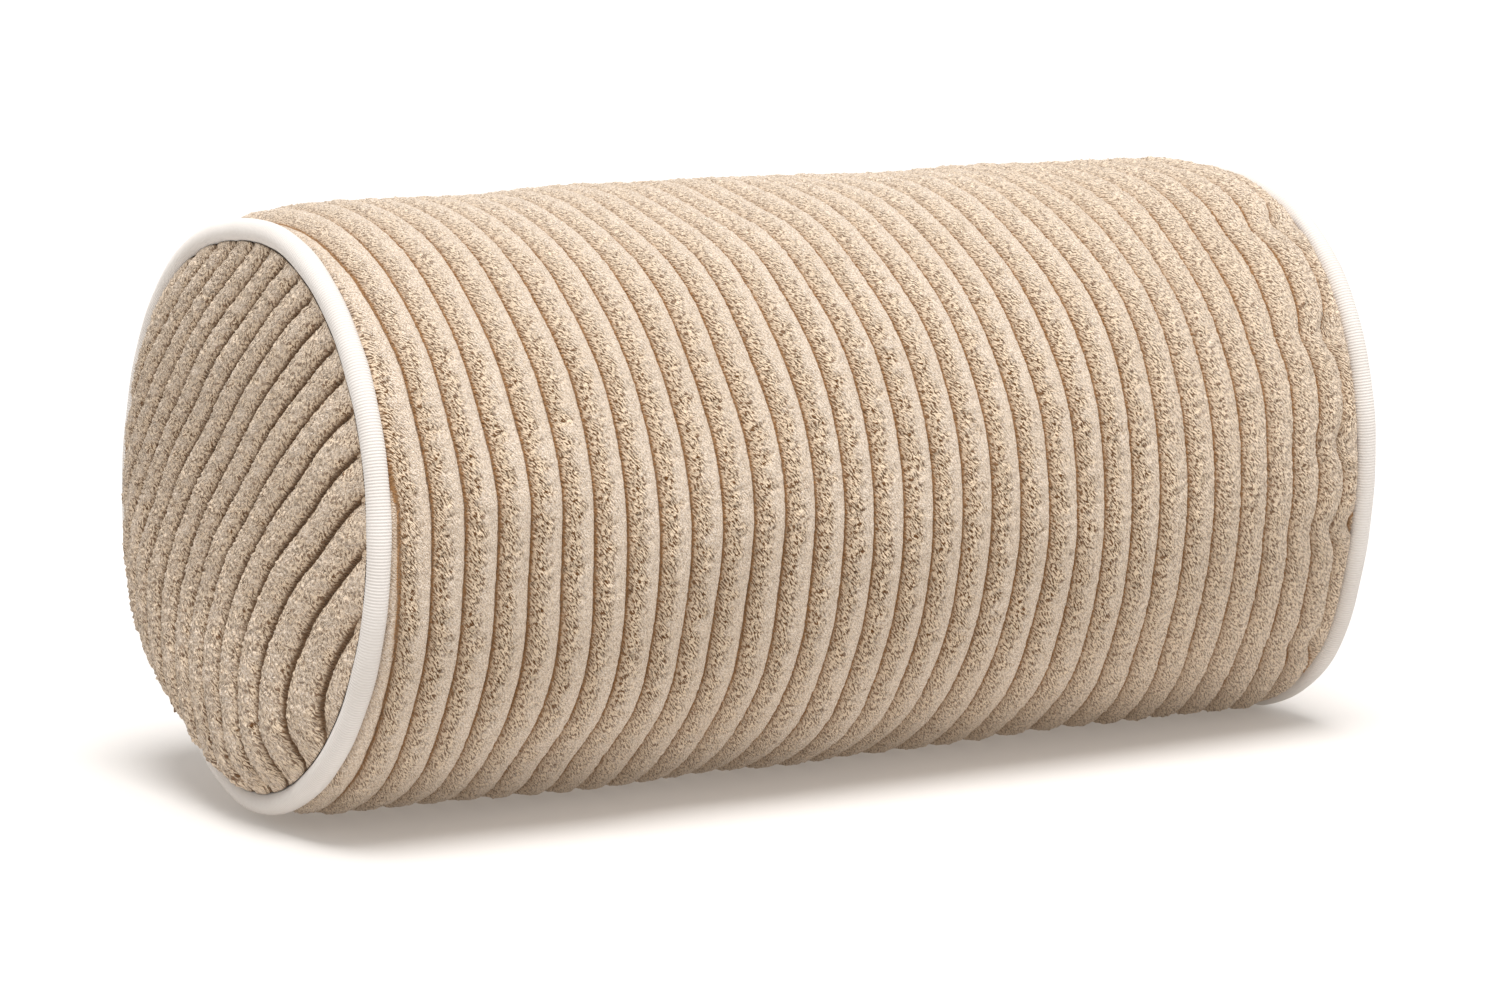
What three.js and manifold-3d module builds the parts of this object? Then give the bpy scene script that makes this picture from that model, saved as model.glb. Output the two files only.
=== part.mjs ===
// Bolster pillow: a stuffed insert in a removable, corded cover with a piped seam
// at each end and a coil zip along the back. Millimetres, +Z up, X along the bolster.
// The front faces -Y, and the bolster rests on z = 0 with its middle above the origin.
import * as THREE from 'three';
import { mergeVertices } from 'three/addons/utils/BufferGeometryUtils.js';
import Module from 'manifold-3d';

const wasm = await Module();
wasm.setup();

// ---- driving dimensions ----
const SEAM_LENGTH = 400;      // over the two piped end seams
const SEAM_DIAMETER = 200;    // over the piping
const PIPING_D = 8;           // finished piping, cord and tape together
const BODY_R = 104;           // the stuffed body, crest of the ribs
const REST_HEIGHT = 101;      // axis above the surface, with the underside pressed flat
const COVER_T = 5.5;          // ribbed terry, foundation cloth and pile together
const END_T = 4.5;            // the same cloth, stretched over the ends
const CROWN = 14;             // how far each end bulges past its seam ring
const LINER_T = 0.7;          // cotton liner of the insert
const TAPE_T = 0.8;           // woven tape, on the piping and on the zip
const GAP = 0.35;             // clearance between pieces that lie against each other
const ZIP_ABOVE_BACK = 20;    // degrees from the back's horizontal up to the zip
const ZIP_TRAVEL = 280;       // the slider's stroke
const SEGMENTS = 36;          // flats round the bolster

// ---- derived dimensions ----
const HALF_LENGTH = SEAM_LENGTH / 2;
const PIPING_R = PIPING_D / 2;
const RING_R = SEAM_DIAMETER / 2 - PIPING_R;      // circle of the piping's centre
const RING_X = HALF_LENGTH - PIPING_R;            // and its place along the bolster
const CORD_R = PIPING_R - TAPE_T - 0.3;
const LEG_X = RING_X - 12;                        // inner edge of the seam allowances
const LEG_TOP = RING_R - PIPING_R + 2 * TAPE_T + 0.4;
const COVER_IN = BODY_R - COVER_T;
const LINER_R = COVER_IN - 3.1;
const FILL_R = LINER_R - LINER_T - 0.4;

const COLOURS = {
  corduroy: 0xcdb896, panel: 0xc2ab8b, piping: 0xefebe4, cord: 0xf4f2ec, zip: 0xd9cdb8,
  metal: 0xd8cbb2, liner: 0xf2f0ea, fibre: 0xfafafa, label: 0xfbfaf6,
};

const bolster = new THREE.Group();

function addMesh(parent, name, geometry, colour, roughness = 0.95, metalness = 0) {
  const material = new THREE.MeshStandardMaterial({ color: COLOURS[colour], roughness, metalness });
  const mesh = new THREE.Mesh(geometry, material);
  mesh.name = name;
  parent.add(mesh);
  return mesh;
}

// ---- solids for joining and cutting ----
function toSolid(geometry) {
  const bare = geometry.clone();
  bare.deleteAttribute('normal');
  bare.deleteAttribute('uv');
  const merged = mergeVertices(bare, 1e-4);
  const vertProperties = new Float32Array(merged.attributes.position.array);
  const triVerts = new Uint32Array(merged.index.array);
  return new wasm.Manifold(new wasm.Mesh({ numProp: 3, vertProperties, triVerts }));
}

function toGeometry(solid) {
  const mesh = solid.getMesh();
  const geometry = new THREE.BufferGeometry();
  geometry.setAttribute('position', new THREE.BufferAttribute(new Float32Array(mesh.vertProperties), 3));
  geometry.setIndex(new THREE.BufferAttribute(new Uint32Array(mesh.triVerts), 1));
  geometry.computeVertexNormals();
  return geometry;
}

function block(x, y, z) {
  const box = new THREE.BoxGeometry(x[1] - x[0], y[1] - y[0], z[1] - z[0]);
  return box.translate((x[0] + x[1]) / 2, (y[0] + y[1]) / 2, (z[0] + z[1]) / 2);
}

// ---- shapes turned about the bolster's axis ----
// The underside is pressed flat: every column of cloth over the contact strip is
// shortened in proportion, so nested layers stay nested.
function pressUnderside(geometry) {
  const position = geometry.attributes.position;
  const halfStrip = Math.sqrt(BODY_R ** 2 - REST_HEIGHT ** 2);
  for (let i = 0; i < position.count; i += 1) {
    const y = position.getY(i);
    const z = position.getZ(i);
    if (z < 0 && Math.abs(y) < halfStrip) {
      position.setZ(i, z * REST_HEIGHT / Math.sqrt(BODY_R ** 2 - y ** 2));
    }
  }
  return geometry;
}

// outline: [along the axis, radius] points, clockwise with the axis to the right
function revolve(outline) {
  const points = outline.map(([along, radius]) => new THREE.Vector2(radius, along));
  const turned = new THREE.LatheGeometry(points, SEGMENTS);
  turned.rotateZ(-Math.PI / 2);
  return pressUnderside(turned);
}

function arc(centre, radius, fromDegrees, toDegrees, steps) {
  const points = [];
  for (let i = 0; i <= steps; i += 1) {
    const a = THREE.MathUtils.degToRad(fromDegrees + (toDegrees - fromDegrees) * i / steps);
    points.push([centre[0] + radius[0] * Math.cos(a), centre[1] + radius[1] * Math.sin(a)]);
  }
  return points;
}

const mirrored = (outline) => outline.map(([along, radius]) => [-along, radius]).reverse();
const whole = (half) => [...mirrored(half), ...half];
const closed = (outline) => [...outline, outline[0]];

// A domed end: from the rim at [along, radius] over to the axis, full near its edge.
function dome(along, radius, height, steps) {
  const points = [];
  for (let i = 0; i <= steps; i += 1) {
    const share = 1 - (i / steps) ** 1.5;
    points.push([along + height * (1 - share ** 3), i === steps ? 0 : radius * share]);
  }
  return points;
}

// ---- the zip's slot in the cover, and what runs in it ----
const SLOT_HALF_WIDTH = 5;
const SLOT_HALF_LENGTH = 160;
const TAPE_HALF_LENGTH = 175;
const TAPE_HALF_WIDTH = 15;
const CHAIN_GAP = 0.8;               // each row's distance from the centre line
const ROW_EDGE = 3.1;
const TAPE_R = [96.9, 96.9 + TAPE_T];
const ROW_R = [98, 100.4];
const SLIDER_X = 150;                // closed, at the +X end
const SLIDER_HALF = 5;
const CHAIN_X = [SLIDER_X - ZIP_TRAVEL - SLIDER_HALF, SLIDER_X + SLIDER_HALF];
const STOP_LENGTH = 2.5;
const STOP_GAP = 0.5;

function zipSlot() {
  const length = [-SLOT_HALF_LENGTH, SLOT_HALF_LENGTH];
  const slot = block(length, [-SLOT_HALF_WIDTH, SLOT_HALF_WIDTH], [BODY_R - 12, BODY_R + 6]);
  return slot.rotateX(THREE.MathUtils.degToRad(ZIP_ABOVE_BACK - 90));
}

// ---- cover: body, piped seams and end panels ----
const SHOULDER_X = 182;                     // where the body starts to turn in
const BODY_END_X = RING_X - PIPING_R - 0.4;
const SEAM_R = LEG_TOP + GAP;               // under the turned-in hem

function coverBody() {
  const turn = [BODY_END_X - SHOULDER_X, BODY_R - 97.6];
  const outside = arc([SHOULDER_X, 97.6], turn, 90, 0, 4);
  const hem = [[BODY_END_X, SEAM_R], [SHOULDER_X - 1, SEAM_R], [SHOULDER_X - 4, COVER_IN]];
  const half = [...outside, ...hem];
  const tube = revolve(closed(whole(half)));
  return toGeometry(toSolid(tube).subtract(toSolid(zipSlot())));
}

function pipingTape() {
  const centre = [RING_X, RING_R];
  const inner = PIPING_R - TAPE_T;
  const low = RING_R - PIPING_R;
  const outerStart = 180 + THREE.MathUtils.radToDeg(Math.asin((RING_R - LEG_TOP) / PIPING_R));
  const slitTop = LEG_TOP - TAPE_T;
  const innerEnd = 180 + THREE.MathUtils.radToDeg(Math.asin((RING_R - slitTop) / inner));
  return closed([
    [LEG_X, LEG_TOP],
    ...arc(centre, [PIPING_R, PIPING_R], outerStart, -90, 7),
    [LEG_X, low],
    [LEG_X, low + TAPE_T],
    ...arc(centre, [inner, inner], -90, innerEnd, 7),
    [LEG_X, slitTop],
  ]);
}

function pipingCord() {
  return arc([RING_X, RING_R], [CORD_R, CORD_R], 180, -180, 8);
}

function endPanel() {
  const rimTop = RING_R - PIPING_R - GAP;
  const rimLow = rimTop - 3.7;
  const faceX = RING_X + 2.3;
  const outside = dome(faceX, rimTop - 0.2, RING_X + CROWN - faceX, 6);
  const inside = dome(faceX - END_T, rimLow, RING_X + CROWN - faceX, 5).reverse();
  return [...inside, [LEG_X, rimLow], [LEG_X, rimTop], ...outside];
}

// ---- insert: liner and filling ----
const LINER_TURN_X = 166;
const LINER_SEAM = [182, 86.9];      // where the liner's body reaches its end seam
const LINER_SEAM_T = 4;              // length of the seam's straight edge

function linerBody() {
  const wall = (inset) => {
    const low = LINER_SEAM[1] - inset;
    const turn = [LINER_SEAM[0] - LINER_TURN_X, LINER_R - LINER_SEAM[1]];
    return [...arc([LINER_TURN_X, low], turn, 90, 0, 3), [LINER_SEAM[0] + LINER_SEAM_T, low]];
  };
  return closed([...whole(wall(0)), ...whole(wall(LINER_T)).reverse()]);
}

function linerEnd() {
  const rimTop = LINER_SEAM[1] - LINER_T - GAP;
  const rimLow = rimTop - LINER_T;
  const faceX = LINER_SEAM[0] + LINER_SEAM_T + 1;
  const rimX = LINER_SEAM[0] - LINER_SEAM_T;
  const outside = dome(faceX, rimTop, CROWN + 2, 5);
  const inside = dome(faceX - LINER_T, rimLow, CROWN + 2, 5).reverse();
  return [...inside, [rimX, rimLow], [rimX, rimTop], ...outside];
}

function fibreFill() {
  const neck = LINER_SEAM[1] - 2 * LINER_T - 2 * GAP - 0.1;
  const turnX = LINER_TURN_X - 1;
  const neckX = LINER_SEAM[0] - LINER_SEAM_T - 1;
  const turn = [neckX - turnX, FILL_R - neck];
  return whole([
    ...arc([turnX, neck], turn, 90, 0, 3), ...dome(neckX + 6, neck - 0.3, CROWN + 3, 5),
  ]);
}

addMesh(bolster, 'cover_body', coverBody(), 'corduroy');
addMesh(bolster, 'liner_body', revolve(linerBody()), 'liner');
addMesh(bolster, 'fibre_fill', revolve(fibreFill()), 'fibre');
for (const [side, flip] of [['right', false], ['left', true]]) {
  const place = (outline) => revolve(flip ? mirrored(outline) : outline);
  addMesh(bolster, `piping_tape_${side}`, place(pipingTape()), 'piping', 0.8);
  addMesh(bolster, `piping_cord_${side}`, place(pipingCord()), 'cord', 0.9);
  addMesh(bolster, `end_panel_${side}`, place(endPanel()), 'panel');
  addMesh(bolster, `liner_end_${side}`, place(linerEnd()), 'liner');
}
bolster.children.forEach((mesh) => mesh.position.setZ(REST_HEIGHT));

// ---- zip: drawn with its own x along the bolster, y down the back, z out from the axis ----
const zip = new THREE.Group();
zip.rotation.x = THREE.MathUtils.degToRad(ZIP_ABOVE_BACK - 90);
zip.position.z = REST_HEIGHT;
bolster.add(zip);

// A shape drawn in the zip's y and z, drawn out along its x.
function alongX(shape, from, to) {
  const bar = new THREE.ExtrudeGeometry(shape, { depth: to - from, bevelEnabled: false });
  const turn = new THREE.Matrix4().makeBasis(
    new THREE.Vector3(0, 1, 0), new THREE.Vector3(0, 0, 1), new THREE.Vector3(1, 0, 0));
  return bar.applyMatrix4(turn).translate(from, 0, 0);
}

// A strip that follows the cover's curve, between two distances from the centre line.
function curvedStrip(radii, nearEdge, farEdge, steps) {
  const at = (radius, edge) => new THREE.Vector2(
    radius * Math.sin(edge / radii[1]), radius * Math.cos(edge / radii[1]));
  const edges = Array.from({ length: steps + 1 }, (_, i) => nearEdge + (farEdge - nearEdge) * i / steps);
  const under = edges.map((edge) => at(radii[0], edge));
  const over = edges.map((edge) => at(radii[1], edge)).reverse();
  return new THREE.Shape([...under, ...over]);
}

for (const [side, sign] of [['upper', -1], ['lower', 1]]) {
  const tape = curvedStrip(TAPE_R, sign * CHAIN_GAP, sign * TAPE_HALF_WIDTH, 4);
  addMesh(zip, `zip_tape_${side}`, alongX(tape, -TAPE_HALF_LENGTH, TAPE_HALF_LENGTH), 'zip');
  const row = curvedStrip(ROW_R, sign * CHAIN_GAP, sign * ROW_EDGE, 1);
  addMesh(zip, `zip_coil_${side}`, alongX(row, CHAIN_X[0], CHAIN_X[1]), 'zip', 0.5);
  const stop = alongX(row, CHAIN_X[1] + STOP_GAP, CHAIN_X[1] + STOP_GAP + STOP_LENGTH);
  addMesh(zip, `zip_top_stop_${side}`, stop, 'metal', 0.4, 0.6);
}
const bottomStop = alongX(
  curvedStrip(ROW_R, -ROW_EDGE, ROW_EDGE, 2),
  CHAIN_X[0] - STOP_GAP - STOP_LENGTH, CHAIN_X[0] - STOP_GAP);
addMesh(zip, 'zip_bottom_stop', bottomStop, 'metal', 0.4, 0.6);

// The pull tab turns in the slider's crown about this point of the closed slider.
const PIVOT_R = 103.3;
const TAB_T = 1.2;
const TAB_LENGTH = 24;
const TAB_HALF_WIDTH = 3;
const EYE_HALF_WIDTH = 1.9;
const EYE_END = 4.2;
const CROWN_HALF_WIDTH = 1.4;

function zipSlider() {
  const lowPlate = block([-4.2, 4.2], [-4.2, 4.2], [95.7, 96.5]);
  const post = block([1.4, 4.2], [-0.45, 0.45], [96.4, 101.2]);
  const topPlate = alongZ(sliderPlan(), 101, 102.1);
  const cheek = (sign) => block(
    [-4.6, 3.4], sign > 0 ? [3.6, 4.5] : [-4.5, -3.6], [98.5, 101.2]);
  const crownWidth = [-CROWN_HALF_WIDTH, CROWN_HALF_WIDTH];
  const crownLeg = (x) => block(x, crownWidth, [102, 105.1]);
  const crownTop = block([-3.2, 3.2], crownWidth, [104.4, 105.2]);
  const pieces = [
    post, topPlate, cheek(1), cheek(-1), crownLeg([-3.2, -2.2]), crownLeg([2.2, 3.2]), crownTop,
  ];
  const joined = pieces.reduce((solid, piece) => solid.add(toSolid(piece)), toSolid(lowPlate));
  return toGeometry(joined);
}

// The slider seen from above: wide at the mouth, narrower where the chain leaves.
function sliderPlan() {
  return new THREE.Shape([
    new THREE.Vector2(-SLIDER_HALF, -3.9), new THREE.Vector2(3.2, -4.5),
    new THREE.Vector2(SLIDER_HALF, -2.6), new THREE.Vector2(SLIDER_HALF, 2.6),
    new THREE.Vector2(3.2, 4.5), new THREE.Vector2(-SLIDER_HALF, 3.9),
  ]);
}

function alongZ(shape, from, to, curveSegments = 6) {
  const plate = new THREE.ExtrudeGeometry(shape, { depth: to - from, bevelEnabled: false, curveSegments });
  return plate.translate(0, 0, from);
}

// The tab lies back over the closed chain, towards -X, with its eye round the crown.
function pullTab() {
  const plan = new THREE.Shape();
  const endX = -TAB_LENGTH + TAB_HALF_WIDTH;
  plan.moveTo(TAB_T / 2, -TAB_HALF_WIDTH);
  plan.lineTo(TAB_T / 2, TAB_HALF_WIDTH);
  plan.lineTo(endX, TAB_HALF_WIDTH);
  plan.absarc(endX, 0, TAB_HALF_WIDTH, Math.PI / 2, 1.5 * Math.PI, false);
  plan.closePath();
  plan.holes.push(new THREE.Path([
    new THREE.Vector2(-TAB_T / 2, -EYE_HALF_WIDTH), new THREE.Vector2(-EYE_END, -EYE_HALF_WIDTH),
    new THREE.Vector2(-EYE_END, EYE_HALF_WIDTH), new THREE.Vector2(-TAB_T / 2, EYE_HALF_WIDTH),
  ]));
  return alongZ(plan, PIVOT_R - TAB_T / 2, PIVOT_R + TAB_T / 2);
}

addMesh(zip, 'zip_slider', zipSlider(), 'metal', 0.35, 0.7).position.setX(SLIDER_X);
addMesh(zip, 'zip_pull_tab', pullTab(), 'metal', 0.35, 0.7).position.setX(SLIDER_X);

// ---- care label: a blank folded strip caught in the seam below the zip ----
const LABEL_X = [-132, -110];
const LABEL_EDGES = [SLOT_HALF_WIDTH + 1.5, 21];
const labelStrip = curvedStrip([BODY_R + GAP, BODY_R + GAP + 0.7], LABEL_EDGES[0], LABEL_EDGES[1], 4);
addMesh(zip, 'care_label', alongX(labelStrip, LABEL_X[0], LABEL_X[1]), 'label', 0.6);

export default bolster;
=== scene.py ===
"""A round bolster pillow: ribbed terry cover, piped ends, zip along the back.

Lengths are in millimetres about the pillow's axis, and are turned into metres when a mesh is made.
Angles round the pillow (phi) start at +Y and turn up through +Z, so the front is at 180 degrees.
"""

import math

import bpy
import numpy as np
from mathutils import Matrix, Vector


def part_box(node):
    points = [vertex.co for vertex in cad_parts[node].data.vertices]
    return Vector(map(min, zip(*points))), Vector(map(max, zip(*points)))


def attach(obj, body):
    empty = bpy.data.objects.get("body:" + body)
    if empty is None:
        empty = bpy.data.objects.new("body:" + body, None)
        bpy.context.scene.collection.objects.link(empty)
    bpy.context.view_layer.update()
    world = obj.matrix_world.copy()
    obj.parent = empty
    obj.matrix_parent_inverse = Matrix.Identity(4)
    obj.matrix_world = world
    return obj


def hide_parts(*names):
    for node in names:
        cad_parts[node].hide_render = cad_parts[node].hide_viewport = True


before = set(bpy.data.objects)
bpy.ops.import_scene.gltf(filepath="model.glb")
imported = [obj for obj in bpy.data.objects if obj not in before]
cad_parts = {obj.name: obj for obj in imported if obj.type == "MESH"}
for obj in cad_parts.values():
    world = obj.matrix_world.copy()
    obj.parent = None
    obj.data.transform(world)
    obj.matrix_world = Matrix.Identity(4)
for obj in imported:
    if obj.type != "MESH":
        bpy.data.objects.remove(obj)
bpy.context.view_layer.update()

MM = 0.001
TURN = 2 * math.pi

# ---------------------------------------------------------------- sizes taken from the frame


def box_mm(node):
    """Lowest and highest corner of a CAD node in millimetres, from the floor under the pillow."""
    low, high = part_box(node)
    return np.array(low) / MM, np.array(high) / MM


cover_low, cover_high = box_mm("cover_body")
tape_low, tape_high = box_mm("piping_tape_left")
label_low, label_high = box_mm("care_label")
panel_end = box_mm("end_panel_left")[0][0]

PIPING_R = 4.0
BODY_R = (cover_high[1] - cover_low[1]) / 2
AXIS_Z = cover_high[2] - BODY_R
FLOOR = -AXIS_Z
RING_R = (tape_high[1] - tape_low[1]) / 2 - PIPING_R
SEAM_X = abs(tape_low[0]) - PIPING_R
SEAM_GAP = 4.3  # from the piping's centre line to the body's first row
BODY_HALF = 182.0  # half the body's length between its rounded ends
DOME = abs(panel_end) - SEAM_X

ZIP_ANGLE = math.radians(20.0)
ZIP_TAPE_X = box_mm("zip_tape_upper")[1][0]
ZIP_TAPE_T = (0.8, 15.0)  # the tape's inner and outer edge, from the zip line
ZIP_TAPE_R = (96.95, 97.55)  # its under side and its face, from the axis
SLOT_X = ZIP_TAPE_X - 15.0
SLOT_HALF = 5.0
SLOT_CLOSED = 0.12  # half the gap left where the seam is sewn shut
STITCH_LINE = 8.2

RIB_PITCH = 11.72
RIB_HEIGHT = 3.3
FIRST_GROOVE = -SEAM_X + 5.5
PANEL_PITCH = 12.5
PANEL_RIB_HEIGHT = 4.0
PANEL_SLANT = math.radians(17.5)
FAR_PANEL_SLANT = math.radians(38)


# ---------------------------------------------------------------- small helpers


def wrap(angle):
    """The same angle between -pi and pi."""
    return (angle + math.pi) % TURN - math.pi


def round_angle(phi):
    """Angle round the body from its front, positive over the top, cut where the cloth ends: at the zip."""
    return (TURN + ZIP_ANGLE - phi) % TURN - math.pi - ZIP_ANGLE


def smooth(value, start, end):
    """Smooth step from 0 at start to 1 at end."""
    t = np.clip((value - start) / (end - start), 0.0, 1.0)
    return t * t * (3 - 2 * t)


def bell(value, width):
    """A smooth hump: 1 at 0, falling away over the width."""
    return np.exp(-((value / width) ** 2))


def bell_at(phi, degrees, spread):
    """A smooth hump round the pillow, its place and width in degrees."""
    return bell(wrap(phi - math.radians(degrees)), math.radians(spread))


def soft_floor(z, level, softness):
    """z kept above level, with a rounded start where it begins to rest."""
    gap = (z - level) / softness
    return level + softness * np.where(gap > 20, gap, np.log1p(np.exp(np.minimum(gap, 20))))


def unit(vectors):
    """Vectors made one long."""
    return vectors / np.maximum(np.linalg.norm(vectors, axis=-1, keepdims=True), 1e-9)


def polar(x, radius, phi):
    """Points at a radius and angle round the axis."""
    x, radius, phi = np.broadcast_arrays(x, radius, phi)
    return np.stack([x, radius * np.cos(phi), radius * np.sin(phi)], -1)


class Grain:
    """A seamless tile of filtered noise with a chosen wavelength, read at any point in millimetres."""

    def __init__(self, across, along, spread, seed, cells=512):
        self.step = min(across, along) / 5
        self.cells = cells
        white = np.random.default_rng(seed).standard_normal((cells, cells))
        frequency = np.fft.fftfreq(cells, self.step)
        k = np.hypot(frequency[:, None] * across, frequency[None, :] * along)
        gain = np.exp(-((np.log(np.maximum(k, 1e-6)) / spread) ** 2))
        tile = np.fft.ifft2(np.fft.fft2(white) * gain).real
        self.tile = tile / tile.std()

    def at(self, u, v):
        a = (u / self.step) % self.cells
        b = (v / self.step) % self.cells
        i = a.astype(int) % self.cells
        j = b.astype(int) % self.cells
        p = a - np.floor(a)
        q = b - np.floor(b)
        i2 = (i + 1) % self.cells
        j2 = (j + 1) % self.cells
        near = self.tile[i, j] * (1 - p) + self.tile[i2, j] * p
        far = self.tile[i, j2] * (1 - p) + self.tile[i2, j2] * p
        return near * (1 - q) + far * q


TUFTS = Grain(across=2.6, along=1.7, spread=0.45, seed=11, cells=1024)
CLUMPS = Grain(across=7.0, along=5.0, spread=0.5, seed=12)
SWAY = Grain(across=80.0, along=90.0, spread=0.5, seed=13)
LUMPS = Grain(across=90.0, along=70.0, spread=0.5, seed=14)


# ---------------------------------------------------------------- meshes from grids of points


def normals_of(points):
    """Unit normals of a grid of points, to the side given by its rows and then its columns."""
    return unit(np.cross(np.gradient(points, axis=0), np.gradient(points, axis=1)))


def grid_uv(u, v):
    """Cloth coordinates of a grid, from values given along its rows, its columns or both."""
    return np.stack(np.broadcast_arrays(u, v), -1)


def grid_faces(rows, cols, closed_rows=False, closed_cols=False, flip=False, first=0):
    """Quads of a grid of points, optionally joined up at the ends."""
    index = np.arange(rows * cols).reshape(rows, cols) + first
    if closed_rows:
        index = np.vstack([index, index[:1]])
    if closed_cols:
        index = np.hstack([index, index[:, :1]])
    quad = np.stack([index[:-1, :-1], index[:-1, 1:], index[1:, 1:], index[1:, :-1]], -1)
    quad = quad.reshape(-1, 4)
    return quad[:, ::-1] if flip else quad


def end_caps(rows, cols, flip=False, first=0):
    """The two polygons that close a tube at its first and last row."""
    start = np.arange(cols)[None] + first
    end = start + (rows - 1) * cols
    return [start, end[:, ::-1]] if flip else [start[:, ::-1], end]


def make_object(name, points, faces, uv=None, fields=None):
    """A smooth-shaded mesh object from points in millimetres about the pillow's axis."""
    mesh = bpy.data.meshes.new(name)
    place = points.reshape(-1, 3) + np.array([0.0, 0.0, AXIS_Z])
    mesh.vertices.add(len(place))
    mesh.vertices.foreach_set("co", (place * MM).astype(np.float32).ravel())
    corner = np.concatenate([f.ravel() for f in faces])
    count = np.concatenate([np.full(len(f), f.shape[1]) for f in faces])
    start = np.concatenate([[0], np.cumsum(count)[:-1]])
    mesh.loops.add(len(corner))
    mesh.loops.foreach_set("vertex_index", corner.astype(np.int32))
    mesh.polygons.add(len(count))
    mesh.polygons.foreach_set("loop_start", start.astype(np.int32))
    mesh.update(calc_edges=True)
    mesh.polygons.foreach_set("use_smooth", np.ones(len(count), bool))
    if uv is not None:
        layer = mesh.uv_layers.new(name="weave")
        layer.data.foreach_set("uv", uv.reshape(-1, 2)[corner].astype(np.float32).ravel())
    for key, values in (fields or {}).items():
        attribute = mesh.attributes.new(key, "FLOAT", "POINT")
        attribute.data.foreach_set("value", values.astype(np.float32).ravel())
    mesh.update()
    obj = bpy.data.objects.new(name, mesh)
    bpy.context.scene.collection.objects.link(obj)
    return obj


def finish_piece(obj, material, stands_for):
    """Gives a piece of the bolster its material and its body, and hides the CAD nodes it stands for."""
    obj.data.materials.append(material)
    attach(obj, "bolster")
    if stands_for:
        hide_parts(*stands_for)
    return obj


# ---------------------------------------------------------------- the two piped rings


# Where the left ring is drawn in and where the right one is let out: degrees, spread and depth.
LEFT_PULLS = ((-62, 25, 11.6), (-2, 30, 1.6), (48, 20, -1.4), (84, 18, 1.8))
RIGHT_SWELLS = ((120, 34, 4.2), (230, 20, 2.4))
LEFT_LEAN = 0.04
RIGHT_LEAN = 0.07
RIGHT_CORNERS = 0.036  # how far the right ring is from round


def left_ring(phi):
    """Centre line of the left piping: pulled flat at the lower back, its top leaning inward."""
    pull = sum(depth * bell_at(phi, place, spread) for place, spread, depth in LEFT_PULLS)
    radius = RING_R - pull
    return -SEAM_X + LEFT_LEAN * radius * np.sin(phi), radius


def right_ring(phi):
    """Centre line of the right piping: slightly three-cornered, its top leaning inward."""
    radius = RING_R * (1 + RIGHT_CORNERS * np.cos(3 * (phi - 0.34)))
    radius = radius + sum(size * bell_at(phi, place, spread) for place, spread, size in RIGHT_SWELLS)
    lowest = FLOOR + PIPING_R + 0.3
    under = np.sin(phi) < -0.2
    to_floor = np.where(under, lowest / np.minimum(np.sin(phi), -0.2), 1e3)
    radius = np.minimum(radius, to_floor)
    lean = RIGHT_LEAN * radius * np.sin(phi) - 2.0 * smooth(np.abs(np.sin(phi)), 0.2, 1.0)
    return SEAM_X - lean, radius


# ---------------------------------------------------------------- the ribbed body


def rib_drift(x, phi):
    """How far the ribs run off square at each place: over the top to the left, low down to the right."""
    to_left, to_right, more_to_right = 18.0, 5.8, 26.0
    level_off = 0.4
    theta = round_angle(phi)
    c = np.cos(theta)
    behind = -level_off * (1 - np.exp(np.minimum(c, 0) / level_off))
    turned = 1 - np.where(c > 0, c, behind)
    middle = np.clip(1 - 0.36 * (x / 136.0) ** 2, 0.4, 1.0)
    over = -(to_left * turned + 1.7 * np.abs(np.sin(theta))) * middle
    under = (to_right + more_to_right * smooth(x, 10.0, 150.0)) * turned
    return np.where(theta > 0, over, under)


def pinch_places(front, seed):
    """Pinch angles and sizes: the given ones at the front (degrees above level), seeded ones behind."""
    rng = np.random.default_rng(seed)
    places = [(math.pi - math.radians(a), size) for a, size in front]
    angle = -100.0
    while angle < 110.0:
        places.append((math.radians(angle), rng.uniform(0.3, 0.9)))
        angle += rng.uniform(17.0, 34.0)
    return places


RIGHT_PINCH = pinch_places([(52, 1.0), (27, 0.9), (5, 0.8), (-13, 1.0), (-42, 0.7)], 21)
LEFT_PINCH = pinch_places([(58, 0.7), (36, 0.5), (8, 0.3), (-22, 0.3), (-50, 0.4)], 22)


def pinches(phi, places, width):
    """Narrow pulls in the cloth at the given angles."""
    total = np.zeros_like(phi)
    for place, size in places:
        total = total + size * bell(wrap(phi - place), width)
    return total


def shoulder(distance, length):
    """How full the body is at a distance from its seam, 0 to 1 over the length."""
    return np.sqrt(1 - (1 - np.clip(distance / length, 0, 1)) ** 2.2)


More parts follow.
